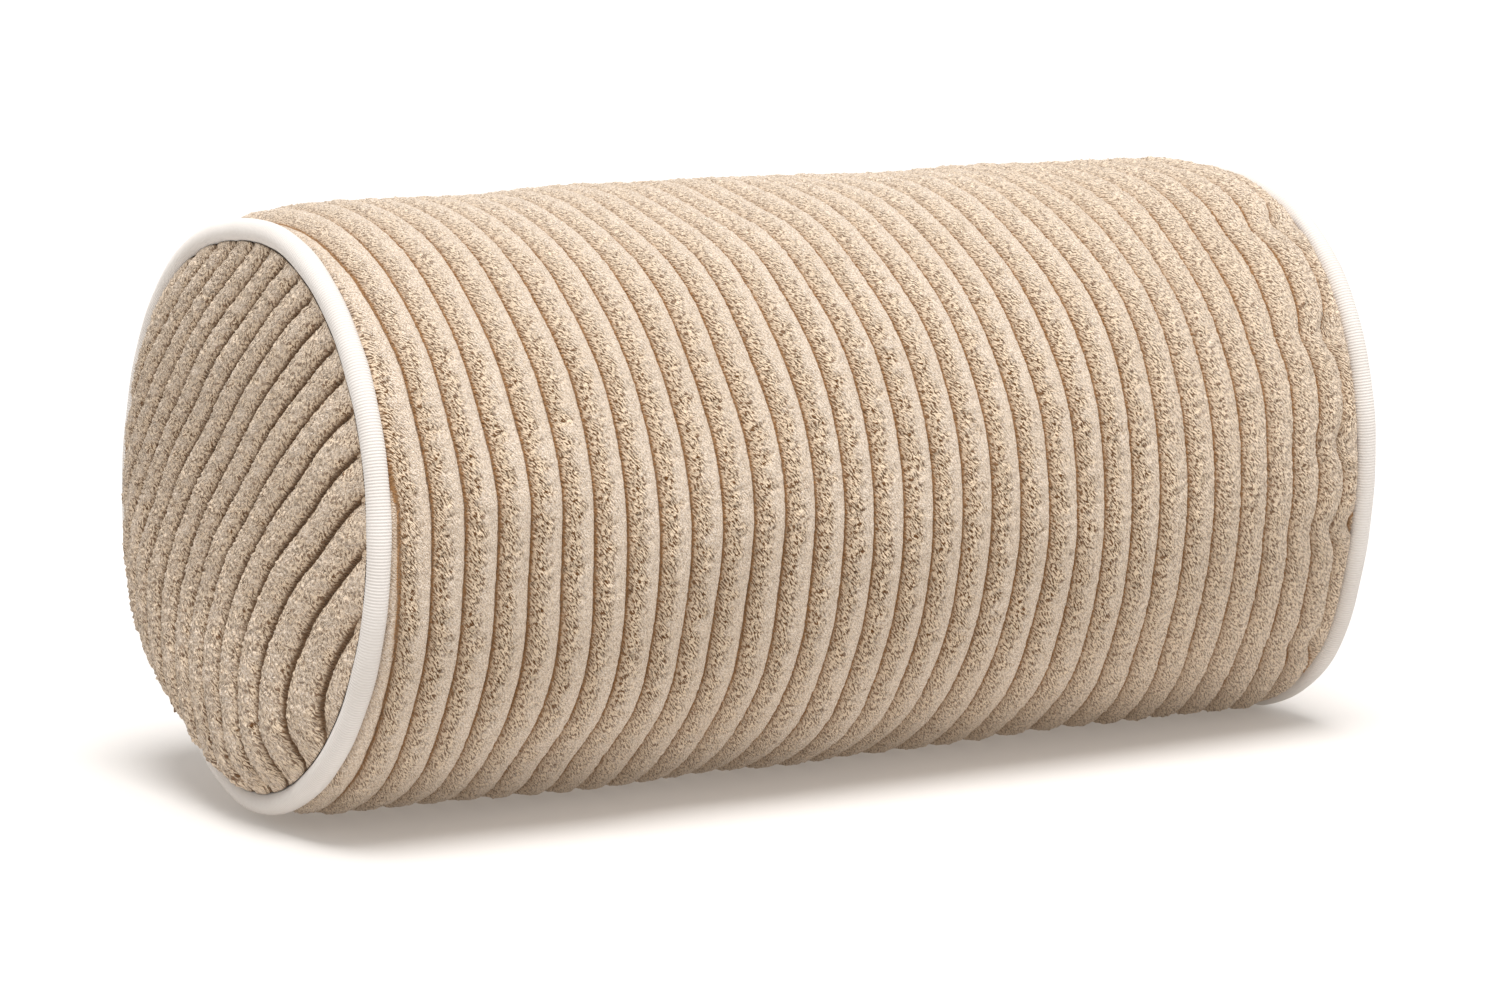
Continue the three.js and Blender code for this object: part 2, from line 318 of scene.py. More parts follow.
def body_base(x, phi):
    """The stuffed body before its ribs: x and phi to points on the crest surface."""
    left_x, left_r = left_ring(phi)
    right_x, right_r = right_ring(phi)
    from_left = x - left_x - SEAM_GAP
    from_right = right_x - SEAM_GAP - x
    # Full in the middle and a little less toward the ends, except on top, with soft lumps.
    bow = (x / BODY_HALF) ** 2
    top = bell_at(phi, 95, 38)
    crest = BODY_R - 0.6 - 2.0 * bow + 0.55 * LUMPS.at(x + 400, BODY_R * round_angle(phi))
    crest = crest + np.where(x < 0, 2.6, 2.8) * bow * top
    # Each end takes the shape of its own ring for some way in.
    crest = crest + (left_r - RING_R) * np.exp(-((x - left_x) / 60.0))
    crest = crest + (right_r - RING_R) * np.exp((x - right_x) / 40.0)
    # Rounded shoulders down to the piping, and the pinches beside it.
    left_edge = left_r + 0.4
    right_edge = right_r + 0.9
    crest = left_edge + (crest - left_edge) * shoulder(from_left, 15.0 + 16.0 * top)
    crest = right_edge + (crest - right_edge) * shoulder(from_right, 15.0)
    left_pull = smooth(from_left, 0.0, 7.0) * np.exp(-(x - left_x - PIPING_R) / 10.0)
    right_pull = smooth(from_right, 0.0, 7.0) * np.exp((x - right_x + PIPING_R) / 12.0)
    crest = crest - 4.2 * pinches(phi, RIGHT_PINCH, 0.05) * right_pull
    crest = crest - 2.0 * pinches(phi, LEFT_PINCH, 0.05) * left_pull
    points = polar(x, crest, phi)
    points[..., 2] = soft_floor(points[..., 2], FLOOR, 0.8)
    return points


def rib_phase(x, phi):
    """Rib number at a place on the body: whole numbers are grooves."""
    left_x = left_ring(phi)[0]
    right_x = right_ring(phi)[0]
    pull_left = 2.0 * pinches(phi, LEFT_PINCH, 0.06) * np.exp(-np.maximum(x - left_x - 6, 0) / 10.0)
    pull_right = 6.0 * pinches(phi, RIGHT_PINCH, 0.075) * np.exp(np.minimum(x - right_x + 10, 0) / 13.0)
    sway = 0.22 * SWAY.at(x, BODY_R * round_angle(phi))
    return (x - rib_drift(x, phi) + pull_right - pull_left + sway - FIRST_GROOVE) / RIB_PITCH


def rib_side(phase):
    """Place across a rib, from -1 just after a groove to 1 just before the next."""
    return 2 * (phase - np.floor(phase)) - 1


def leaning_rib(side):
    """Height across a body rib, 0 to 1: a long open flank, then a full smooth edge above the groove."""
    rise = np.clip((side + 0.97) / 1.05, 0, 1) ** 0.55
    drop = np.clip(1 - (np.clip(side - 0.20, 0, 1) / 0.74) ** 3.0, 0, 1) ** 0.5
    return rise * drop


def round_rib(side):
    """Height across a panel rib, 0 to 1: even and round."""
    return np.clip(1 - np.clip(np.abs(side) / 0.93, 0, 1) ** 2.2, 0, 1) ** 0.5


def pile_and_rib_shade(side, u, v, x, theta):
    """How open the loops are, with painted shade, 0 to 1: brushed flat on one edge of each rib, open and
    painted in shade on its flank.
    """
    ragged = 0.15 * CLUMPS.at(u * 0.7, v * 0.6) + 0.10 * TUFTS.at(u, v)
    flank = 1 - smooth(side + ragged, -0.45, 0.25)
    # The flank's painted shade is strongest at the front and fades over the top and underneath.
    turned = 0.30 + 0.70 * bell(theta, math.radians(50))
    even = smooth(x, 40.0, 150.0)
    return np.clip(0.18 + 0.24 * even + flank * turned * (1 - 0.55 * even), 0, 1)


def slot_half(x):
    """Half the width of the zip slot along the seam; closed past its ends."""
    return SLOT_CLOSED + (SLOT_HALF - SLOT_CLOSED) * smooth(SLOT_X - np.abs(x), 0.0, 5.0)


def seam_drop(x, phi):
    """How far the cloth dips at the closing seam, the slot's edges and the stitched lines."""
    edge_depth, stitch_depth = 5.4, 1.6
    t = BODY_R * np.abs(wrap(phi - ZIP_ANGLE))
    half = slot_half(x)
    edge = edge_depth * bell(t - half, 2.0) * (t >= half - 0.5)
    stitched = smooth(SLOT_X + 6 - np.abs(x), 0, 4)
    return edge + stitch_depth * bell(t - STITCH_LINE, 1.3) * stitched


def body_relief(x, phi):
    """Height of the loops over the crest surface, and its fields: rib, open loops with painted shade,
    across and along the ribs.
    """
    phase = rib_phase(x, phi)
    side = rib_side(phase)
    profile = leaning_rib(side)
    theta = round_angle(phi)
    u = phase * RIB_PITCH
    v = BODY_R * theta
    pile_shade = pile_and_rib_shade(side, u, v, x, theta)
    tufts = TUFTS.at(u, v) * (0.09 + 0.34 * pile_shade) * (0.4 + 0.6 * profile)
    clumps = CLUMPS.at(u, v) * (0.10 + 0.14 * pile_shade) * profile
    near_end = np.minimum(x - left_ring(phi)[0] - SEAM_GAP, right_ring(phi)[0] - SEAM_GAP - x)
    held = 0.35 + 0.65 * smooth(near_end, 0.0, 5.0)
    height = -RIB_HEIGHT * (1 - profile) * held + tufts + clumps - seam_drop(x, phi)
    return height, (profile, pile_shade, u, v)


def body_grid():
    """Places on the body, as x and phi, and how far each is from the body's nearer end.

    Rows follow the ribs, and columns are closest beside the zip.
    """
    rows, cols = 560, 640
    rest = np.linspace(-1, 1, rows)[:, None]
    share = np.linspace(0.0001, 0.9999, cols)[None, :]
    sweep = TURN * (share - 0.010 * np.sin(TURN * share))
    phi = ZIP_ANGLE + sweep
    start = left_ring(phi)[0] + SEAM_GAP
    end = right_ring(phi)[0] - SEAM_GAP
    x = start + (end - start) * (rest + 1) / 2
    inside = smooth(1 - np.abs(rest), 0.0, 0.5)
    x = x + 0.92 * rib_drift(x, phi) * inside
    half = np.maximum(slot_half(x), 0.05) / BODY_R
    phi = ZIP_ANGLE + half + (TURN - 2 * half) * sweep / TURN
    return x, phi, np.minimum(x - start, end - x)


def body_hem(ring, sign, phi):
    """Rows of points that tuck the body's end down behind its piping, the outermost first."""
    ring_x, ring_r = ring(phi)
    steps = ((2.9, 3.4), (1.5, 5.6), (1.3, 9.0))
    return np.array([polar(ring_x + sign * dx, ring_r - dr, phi) for dx, dr in steps])


def slot_fold(edge, sign):
    """Two columns of points that turn the cloth in under one edge of the slot, the nearer first."""
    radius = np.hypot(edge[:, 1], edge[:, 2])
    angle = np.arctan2(edge[:, 2], edge[:, 1])
    turns = ((2.0, 1.0), (5.0, 1.3))
    return [
        polar(edge[:, 0], radius - drop, angle + sign * shift / radius)[:, None] for shift, drop in turns
    ]


def build_body(cloth):
    """The ribbed tube of the cover, open at the slot, with its edges turned in."""
    x, phi, to_end = body_grid()
    base = body_base(x, phi)
    outward = -normals_of(base)
    height, fields = body_relief(x, phi)
    height = height * smooth(to_end, -1.0, 3.0)
    points = base + outward * height[..., None]
    points[..., 2] = np.maximum(points[..., 2], FLOOR + 0.02)
    left_hem = body_hem(left_ring, 1, phi[0])[::-1]
    right_hem = body_hem(right_ring, -1, phi[-1])
    points = np.concatenate([left_hem, points, right_hem])
    first_fold = slot_fold(points[:, 0], 1)[::-1]
    last_fold = slot_fold(points[:, -1], -1)
    points = np.concatenate([*first_fold, points, *last_fold], axis=1)
    profile, pile_shade, u, v = [np.pad(field, ((3, 3), (2, 2)), mode="edge") for field in fields]
    faces = [grid_faces(*points.shape[:2], flip=True)]
    obj = make_object("body_cover", points, faces, grid_uv(u, v), {"rib": profile, "pile_shade": pile_shade})
    finish_piece(obj, cloth, ["cover_body"])
    return obj


# ---------------------------------------------------------------- the domed end panels


def left_panel_field(y, z):
    """Distance across and along the ribs of the left panel, which bend upright below a soft ridge."""
    a = -y * math.cos(PANEL_SLANT) - z * math.sin(PANEL_SLANT)
    along = -y * math.sin(PANEL_SLANT) + z * math.cos(PANEL_SLANT)
    ridge, soft = -31.0, 29.0
    bend = 0.61 * (np.sqrt((along - ridge) ** 2 + soft**2) - soft)
    fan = 0.105 * a * along / 100 - 0.176 * a * a / 100
    return a + 46.4 - bend + fan, along


def right_panel_field(y, z):
    """Distance across and along the ribs of the right panel: straight, on a slant, a little bowed."""
    along = y * math.cos(FAR_PANEL_SLANT) + z * math.sin(FAR_PANEL_SLANT)
    across = -y * math.sin(FAR_PANEL_SLANT) + z * math.cos(FAR_PANEL_SLANT)
    return across + 0.0012 * along**2 + 3.0, along


def left_dome(q, phi, z):
    """How far the left panel stands out past the seam, and how far it swells over the piping.

    It is drawn tight at the front and top, and full and square at the back and below.
    """
    full = smooth(np.cos(phi + math.radians(25)), -0.5, 0.6)
    low = np.clip(-z / RING_R, 0, 1)
    height = (DOME - 6.0) * (1 - q ** (4.0 + 9.0 * full)) + 5.5 * (1 - q**5) * low
    bulge = 0.6 * full + 2.9 * bell_at(phi, -60, 26)
    swell = bulge * smooth(q, 0.72, 0.93) * smooth(1 - q, 0.0, 0.06)
    return height, swell


def right_dome(q, _phi, _z):
    """The right panel's even dome."""
    return (DOME - 3.0) * (1 - q**5.0), 0.0


def dome_base(ring, dome, sign, q, phi):
    """The stuffed end before its ribs: share of the way out to the rim, and phi, to points."""
    ring_x, ring_r = ring(phi)
    radius = q * (ring_r - 3.2)
    height, swell = dome(q, phi, radius * np.sin(phi))
    radius = radius + swell
    z = radius * np.sin(phi)
    y = radius * np.cos(phi)
    x = sign * SEAM_X + (ring_x - sign * SEAM_X) * q + sign * (2.9 + height)
    lumps = LUMPS.at(y * 1.3 + 200 * sign, z * 1.3)
    x = x + sign * 0.5 * lumps * smooth(1 - q, 0.0, 0.2)
    return np.stack([x, y, z], -1)


def panel_relief(field, sign, y, z):
    """Height of a panel's loops over its crest surface, and its fields: rib, open loops with painted shade
    toward the grooves, across and along.
    """
    across, along = field(y, z)
    across = across + 0.35 * SWAY.at(y * 1.5, z * 1.5 + 300 * sign)
    side = rib_side(across / PANEL_PITCH)
    profile = round_rib(side)
    # Open loops and painted shade, growing toward the grooves on each side of a rib.
    pile_shade = 0.46 + 0.40 * smooth(np.abs(side), 0.3, 0.95) + 0.15 * CLUMPS.at(across * 0.6, along * 0.6 + 90)
    tufts = TUFTS.at(across + 500, along) * (0.06 + 0.24 * profile)
    clumps = CLUMPS.at(across + 500, along) * 0.16 * profile
    height = -PANEL_RIB_HEIGHT * (1 - profile) + tufts + clumps
    return height, (profile, np.clip(pile_shade, 0, 1), across, along)


def build_panel(name, node, ring, dome, field, sign, cloth):
    """One domed end with slanted ribs, its rim tucked behind the piping."""
    rows, cols = 150, 880
    q = np.linspace(0.004, 1, rows)[:, None]
    phi = np.linspace(0, TURN, cols, endpoint=False)[None, :]
    base = dome_base(ring, dome, sign, q, phi)
    closed = np.concatenate([base[:, -1:], base, base[:, :1]], axis=1)
    outward = normals_of(closed)[:, 1:-1]
    outward = outward * np.sign(outward[..., :1]) * sign
    height, fields = panel_relief(field, sign, base[..., 1], base[..., 2])
    height = height * smooth(1 - q, -0.01, 0.03)
    points = base + outward * height[..., None]
    ring_x, ring_r = ring(phi)
    hem = [polar(ring_x + sign * dx, ring_r - dr, phi) for dx, dr in ((1.6, 5.6), (1.4, 9.0))]
    points = np.concatenate([points, *hem])
    total = points.shape[0]
    fields = [np.pad(values, ((0, 2), (0, 0)), mode="edge").ravel() for values in fields]
    profile, pile_shade, across, along = [np.append(values, values[0]) for values in fields]
    rim = np.arange(cols)
    fan = np.stack([np.full(cols, total * cols), rim, np.roll(rim, -1)], -1)
    faces = [grid_faces(total, cols, closed_cols=True, flip=sign < 0), fan[:, ::-1] if sign < 0 else fan]
    middle = points[0].mean(axis=0)
    points = np.concatenate([points.reshape(-1, 3), middle[None]])
    obj = make_object(name, points, faces, grid_uv(across, along), {"rib": profile, "pile_shade": pile_shade})
    finish_piece(obj, cloth, [node])


# ---------------------------------------------------------------- piping


def ring_frame(ring, count):
    """Centre line of a ring, the directions out of it and beside it, and the run and length round it."""
    phi = np.linspace(0, TURN, count, endpoint=False)
    x, radius = ring(phi)
    centre = polar(x, radius, phi)
    along = unit(np.roll(centre, -1, 0) - np.roll(centre, 1, 0))
    out = unit(np.cross(along, np.tile([1.0, 0.0, 0.0], (count, 1))))
    out = out * np.sign((out * centre)[:, 1:].sum(-1))[:, None]
    side = np.cross(out, along)
    step = np.linalg.norm(np.roll(centre, -1, 0) - centre, axis=-1)
    run = np.concatenate([[0], np.cumsum(step)[:-1]])
    return centre, out, side, run, step.sum()


def around(centre, side, out, a, b):
    """Rings of points round a centre line, a to its side and b outward."""
    return centre[:, None] + a[..., None] * side[:, None] + b[..., None] * out[:, None]


def build_piping(name, node, ring, material):
    """The ribbed tape folded round its cord, with its two edges held in the seam."""
    count, rib_every = 2400, 1.0
    centre, out, side, run, length = ring_frame(ring, count)
    wave = 0.07 * np.cos(TURN * round(length / rib_every) * run / length)
    soft = 0.12 * np.sin(run / 17.0) * np.sin(run / 5.3)
    angle = np.radians(np.linspace(-72, 252, 26))
    radius = (PIPING_R - 0.08 + wave + soft)[:, None]
    edge_a = np.array([[0.5, 0.5]])
    edge_b = np.array([[-11.0, -7.0]])
    right = around(centre, side, out, edge_a, edge_b)
    tube = around(centre, side, out, radius * np.cos(angle), radius * np.sin(angle))
    left = around(centre, side, out, -edge_a, edge_b[:, ::-1])
    points = np.concatenate([right, tube, left], axis=1)
    cols = points.shape[1]
    faces = [grid_faces(count, cols, closed_rows=True, closed_cols=True)]
    obj = make_object(name, points, faces, grid_uv(np.linspace(0, 30, cols), run[:, None]))
    finish_piece(obj, material, [node])


def build_cord(name, node, ring, material):
    """The three-ply cord inside the piping, lying in its tape."""
    count, cols, lay = 600, 24, 14.0
    centre, out, side, run, length = ring_frame(ring, count)
    spin = TURN * round(length / lay) * run / length
    angle = np.linspace(0, TURN, cols, endpoint=False)
    radius = 2.7 + 0.35 * np.abs(np.cos(1.5 * angle))
    turned = angle + spin[:, None]
    points = around(centre, side, out, radius * np.cos(turned), radius * np.sin(turned))
    faces = [grid_faces(count, cols, closed_rows=True, closed_cols=True)]
    obj = make_object(name, points, faces, grid_uv(np.linspace(0, 19, cols), run[:, None]))
    finish_piece(obj, material, [node])


# ---------------------------------------------------------------- zip, stitching and label


def zip_point(x, t, n):
    """A point by its place along the zip, round the back from its line, and out from the axis."""
    return polar(x, n, ZIP_ANGLE - t / n)


def build_zip_tape(name, node, sign, material):
    """A woven tape with a thick selvage along its outer edge and a low one beside the coil."""
    rows, cols = 420, 30
    inner, outer = ZIP_TAPE_T
    under, face = ZIP_TAPE_R
    t = np.linspace(inner, outer, cols)
    x = np.linspace(-ZIP_TAPE_X, ZIP_TAPE_X, rows)[:, None]
    bead = 0.28 * bell(t - outer + 0.8, 0.5) + 0.18 * bell(t - 3.6, 0.35)
    top = face + bead + 0.08 * SWAY.at(x * 2 + 50 * sign, t[None] * 3)
    upper = zip_point(x, sign * t, top)
    lower = zip_point(x, sign * t, np.full((rows, cols), under))
    points = np.concatenate([upper, lower[:, ::-1]], axis=1)
    total = points.shape[1]
    faces = [grid_faces(rows, total, closed_cols=True, flip=sign < 0)]
    faces += end_caps(rows, total, flip=sign < 0)
    obj = make_object(name, points, faces, grid_uv(np.concatenate([t, t[::-1] + 40]), x))
    finish_piece(obj, material, [node])


def build_coil(name, node, sign, material):
    """One row of a nylon coil zip: a flattened spiral of round wire."""
    low, high = box_mm(node)
    pitch, wire = 1.45, 0.31
    per_turn, cols = 14, 7
    turns = int((high[0] - low[0] - 1.0) / pitch)
    count = turns * per_turn + 1
    spin = np.arange(count) / per_turn * TURN
    stagger = 0.45 * pitch if sign > 0 else 0
    x = low[0] + 0.5 + pitch * (spin / TURN) + stagger
    centre = zip_point(x, sign * (1.30 - 1.5 * np.cos(spin)), 99.2 + 0.82 * np.sin(spin))
    along = unit(np.gradient(centre, axis=0))
    side = unit(np.cross(along, [1.0, 0.0, 0.0]))
    over = np.cross(side, along)
    angle = np.linspace(0, TURN, cols, endpoint=False)[None]
    points = around(centre, side, over, wire * np.cos(angle), wire * np.sin(angle))
    faces = [grid_faces(count, cols, closed_cols=True)] + end_caps(count, cols)
    obj = make_object(name, points, faces, grid_uv(angle, spin[:, None] * 0.8))
    finish_piece(obj, material, [node])


def stitch_run(starts, ends, lift, thickness):
    """Small rounded stitches from each start to each end, arched over the cloth: points and faces."""
    steps, cols = 7, 8
    s = np.linspace(0, 1, steps)
    arch = np.sin(math.pi * s)
    body = np.sqrt(np.clip(1 - (2 * s - 1) ** 6, 0.05, 1))
    angle = np.linspace(0, TURN, cols, endpoint=False)[:, None]
    along = unit(ends - starts)
    out = unit((starts + ends) / 2 * np.array([0.0, 1.0, 1.0]))
    side = np.cross(along, out)
    centre = starts[:, None] + (ends - starts)[:, None] * s[:, None]
    centre = centre + out[:, None] * (lift * arch)[:, None]
    ring = np.cos(angle) * side[:, None, None] + 0.8 * np.sin(angle) * out[:, None, None]
    points = centre[:, :, None] + ring * (thickness * body)[:, None, None]
    faces = []
    for k in range(len(starts)):
        first = k * steps * cols
        faces.append(grid_faces(steps, cols, closed_cols=True, first=first))
        faces += end_caps(steps, cols, first=first)
    return points.reshape(-1, 3), faces


def cover_point(x, t):
    """A point on the finished cover at a distance t round the back from the zip line."""
    phi = ZIP_ANGLE - t / BODY_R + 0 * x
    base = body_base(x, phi)
    height = body_relief(x, phi)[0]
    return base + unit(base * np.array([0.0, 1.0, 1.0])) * height[..., None]


def build_stitches(material):
    """Topstitching along both sides of the slot, and a bar tack across each end of it."""
    pitch, length = 3.4, 2.7
    runs = []
    x = np.arange(-SLOT_X - 4, SLOT_X + 4 - length, pitch)
    for sign in (-1, 1):
        starts = cover_point(x, sign * STITCH_LINE)
        ends = cover_point(x + length, sign * STITCH_LINE)
        runs.append(stitch_run(starts, ends, 0.35, 0.3))
    t = np.arange(-STITCH_LINE + 0.5, STITCH_LINE - 0.5, 0.62)
    radius = BODY_R - 2.6 - 2.2 * bell(t, 2.4)
    for end in (-1, 1):
        middle = end * (SLOT_X + 2.6)
        starts = zip_point(middle - 1.3, t, radius)
        ends = zip_point(middle + 1.3, t + 0.15, radius)
        runs.append(stitch_run(starts, ends, 0.45, 0.27))
    faces, first = [], 0
    for run_points, run_faces in runs:
        faces += [face + first for face in run_faces]
        first += len(run_points)
    points = np.concatenate([run_points for run_points, _ in runs])
    quads = np.concatenate([face for face in faces if face.shape[1] == 4])
    caps = np.concatenate([face for face in faces if face.shape[1] == 8])
    obj = make_object("slot_stitching", points, [quads, caps], grid_uv(points[:, 0], points[:, 2]))
    finish_piece(obj, material, [])


def build_label(material):
    """A blank care label: one strip folded in half, its ends caught under the slot's edge."""
    width = label_high[0] - label_low[0]
    reach, layer = 21.0, 0.65
    x = np.linspace(label_low[0], label_high[0], 30)[:, None]
    out_t = np.array([5.0, 5.6, 6.6, 8.0, 10.0, 12.0, 14.0, 16.0, 18.0, 19.5, reach - 0.4])
    out_n = np.array([99.3, 101.4, 103.9, 104.6, 104.7, 104.7, 104.7, 104.75, 104.8, 104.9, 105.0])
    t = np.concatenate([out_t, [reach - 0.1, reach, reach - 0.1], out_t[::-1]])
    n = np.concatenate([out_n, [105.1, 105.3, 105.5], out_n[::-1] + layer])
    curl = 0.5 * ((x - x.mean()) / width * 2) ** 2
    points = zip_point(x, t, n + curl * smooth(t, 8.0, reach))
    step = np.linalg.norm(np.diff(points[len(x) // 2], axis=0), axis=-1)
    run = np.concatenate([[0], np.cumsum(step)])
    faces = [grid_faces(len(x), len(t))]
    obj = make_object("care_label_strip", points, faces, grid_uv(x, run))
    finish_piece(obj, material, ["care_label"])
    flat = (width * MM, step.sum() * MM)


# ---------------------------------------------------------------- the insert


LINER_DEPTH = 9.8  # how far the liner lies under the cover's crests
LINER_END = 8.0  # how far it stops short of the piping's centre line
FILL_DEPTH = 15.0


def build_liner(material):
    """The cotton liner: a smooth tube just inside the cover, a little rumpled."""
    rows, cols = 180, 300
    s = np.linspace(0, 1, rows)[:, None]
    phi = np.linspace(0, TURN, cols, endpoint=False)[None, :]
    left_x = left_ring(phi)[0]
    right_x = right_ring(phi)[0]
    x = left_x + LINER_END + (right_x - left_x - 2 * LINER_END) * s
    base = body_base(x, phi)
    arc = BODY_R * phi
    rumple = 0.45 * CLUMPS.at(x / 3, arc / 3 + 60) + 0.5 * SWAY.at(x * 2, arc)
    near_end = np.minimum(x - left_x - LINER_END, right_x - LINER_END - x)
    radius = np.hypot(base[..., 1], base[..., 2]) - LINER_DEPTH
    radius = radius + np.clip(rumple, -1.2, 1.0) - 4.0 * np.exp(-near_end / 4.0)
    faces = [grid_faces(rows, cols, closed_cols=True, flip=True)]
    obj = make_object("liner_tube", polar(x, radius, phi), faces, grid_uv(x, arc))
    finish_piece(obj, material, ["liner_body"])


def build_liner_end(name, node, ring, dome, sign, material):
    """One end of the liner, domed like the panel in front of it."""
    rows, cols = 60, 300
    q = np.linspace(0.02, 1, rows)[:, None]
    phi = np.linspace(0, TURN, cols, endpoint=False)[None, :]
    ring_x, ring_r = ring(phi)
    radius = q * (ring_r - 12.0)
    z = radius * np.sin(phi)
    y = radius * np.cos(phi)
    x = sign * SEAM_X + (ring_x - sign * SEAM_X) * q + sign * (dome(q * 0.9, phi, z)[0] - 6.0)
    x = x + 0.4 * CLUMPS.at(y / 3 + 40, z / 3)
    middle_cap = end_caps(rows, cols, flip=sign > 0)[0]
    faces = [grid_faces(rows, cols, closed_cols=True, flip=sign < 0), middle_cap]
    obj = make_object(name, np.stack([x, y, z], -1), faces, grid_uv(y, z))
    finish_piece(obj, material, [node])


def build_fill(material):
    """The fibre filling: one lumpy mass with round ends."""
    rows, cols = 150, 200
    s = np.linspace(-1, 1, rows)[:, None]
    phi = np.linspace(0, TURN, cols, endpoint=False)[None, :]
    x = s * (SEAM_X - 6.0)
    base = body_base(np.clip(x, -SEAM_X + 14, SEAM_X - 14) + 0 * phi, phi)
    radius = np.hypot(base[..., 1], base[..., 2]) - FILL_DEPTH
    radius = radius * np.clip(1 - np.abs(s) ** 26, 0.0004, 1) ** 0.4
    arc = BODY_R * phi
    puff = 1.2 * CLUMPS.at(x / 2.2, arc / 2.2) + 1.2 * SWAY.at(x * 2, arc * 2)
    radius = radius * (1 + 0.008 * np.clip(puff, -2, 2))
    faces = [grid_faces(rows, cols, closed_cols=True, flip=True)] + end_caps(rows, cols)
    obj = make_object("fibre_filling", polar(x, radius, phi), faces, grid_uv(x, arc))
    finish_piece(obj, material, ["fibre_fill"])


# ---------------------------------------------------------------- materials


def paint(r, g, b):
    """A display colour (0 to 255) as the linear colour a shader takes."""
    values = [c / 255 for c in (r, g, b)]
    linear = [c / 12.92 if c <= 0.04045 else ((c + 0.055) / 1.055) ** 2.4 for c in values]
    return (*linear, 1.0)


class Finish:
    """A material being built: add() makes a node, and a socket given as an input is linked."""

    def __init__(self, name):
        self.material = bpy.data.materials.new(name)
        self.material.use_nodes = True
        self.tree = self.material.node_tree
        self.shader = self.tree.nodes["Principled BSDF"]

    def add(self, kind, inputs=None, **settings):
        """A new node, with its inputs given by name or number."""
        node = self.tree.nodes.new(kind)
        for key, value in settings.items():
            setattr(node, key, value)
        for key, value in (inputs or {}).items():
            self.put(node.inputs[key], value)
        return node

    def put(self, socket, value):
        """Links a socket to another one, or sets its value."""
        if isinstance(value, bpy.types.NodeSocket):
            self.tree.links.new(value, socket)
        else:
            socket.default_value = value

    def maths(self, operation, a, b, c=0.0):
        return self.add("ShaderNodeMath", {0: a, 1: b, 2: c}, operation=operation).outputs[0]

    def sum(self, a, share_a, b, share_b):
        """Two values, each times its share, added up."""
        return self.maths("MULTIPLY_ADD", b, share_b, self.maths("MULTIPLY", a, share_a))

    def mix(self, factor, a, b):
        """Colour a at factor 0, b at factor 1."""
        return self.add("ShaderNodeMix", {0: factor, 6: a, 7: b}, data_type="RGBA").outputs[2]

    def ramp(self, value, start, end, low=0.0, high=1.0):
        """A smooth ramp of a value between two levels."""
        inputs = {0: value, 1: start, 2: end, 3: low, 4: high}
        return self.add("ShaderNodeMapRange", inputs, interpolation_type="SMOOTHSTEP").outputs[0]

    def place(self, along=1.0, across=1.0):
        """The object's own coordinates, scaled along the pillow and across it."""
        spot = self.add("ShaderNodeTexCoord").outputs["Object"]
        return self.add("ShaderNodeMapping", {0: spot, 3: (along, across, across)}).outputs[0]

    def weave(self, across, along):
        """The cloth's coordinates in millimetres, scaled across and along its threads."""
        spot = self.add("ShaderNodeUVMap", uv_map="weave").outputs[0]
        return self.add("ShaderNodeMapping", {0: spot, 3: (across, along, 1.0)}).outputs[0]

    def strands(self, width, length, turn):
        """Short strands of the given size in millimetres, leaning by an angle from the ribs."""
        spot = self.add("ShaderNodeUVMap", uv_map="weave").outputs[0]
        inputs = {0: spot, 2: (0.0, 0.0, math.radians(turn)), 3: (width, length, 1.0)}
        node = self.add("ShaderNodeMapping", inputs, vector_type="TEXTURE")
        return self.noise(node.outputs[0], 1.0, 1.5, 0.45)

    def noise(self, vector, scale, detail=2.0, rough=0.5):
        inputs = {"Vector": vector, "Scale": scale, "Detail": detail, "Roughness": rough}
        return self.add("ShaderNodeTexNoise", inputs).outputs[0]

    def wave(self, vector, direction, distortion=0.0, scale=1.0, detail=2.0):
        """Even bands, for woven and twisted threads."""
        inputs = {"Vector": vector, "Scale": scale, "Distortion": distortion, "Detail": detail}
        return self.add("ShaderNodeTexWave", inputs, bands_direction=direction).outputs[0]

    def bump(self, height, distance, strength):
        inputs = {"Height": height, "Distance": distance, "Strength": strength}
        return self.add("ShaderNodeBump", inputs).outputs[0]

    def set(self, **sockets):
        """Puts values into the shader's sockets, their spaces written as underscores."""
        for key, value in sockets.items():
            self.put(self.shader.inputs[key.replace("_", " ")], value)
        return self.material


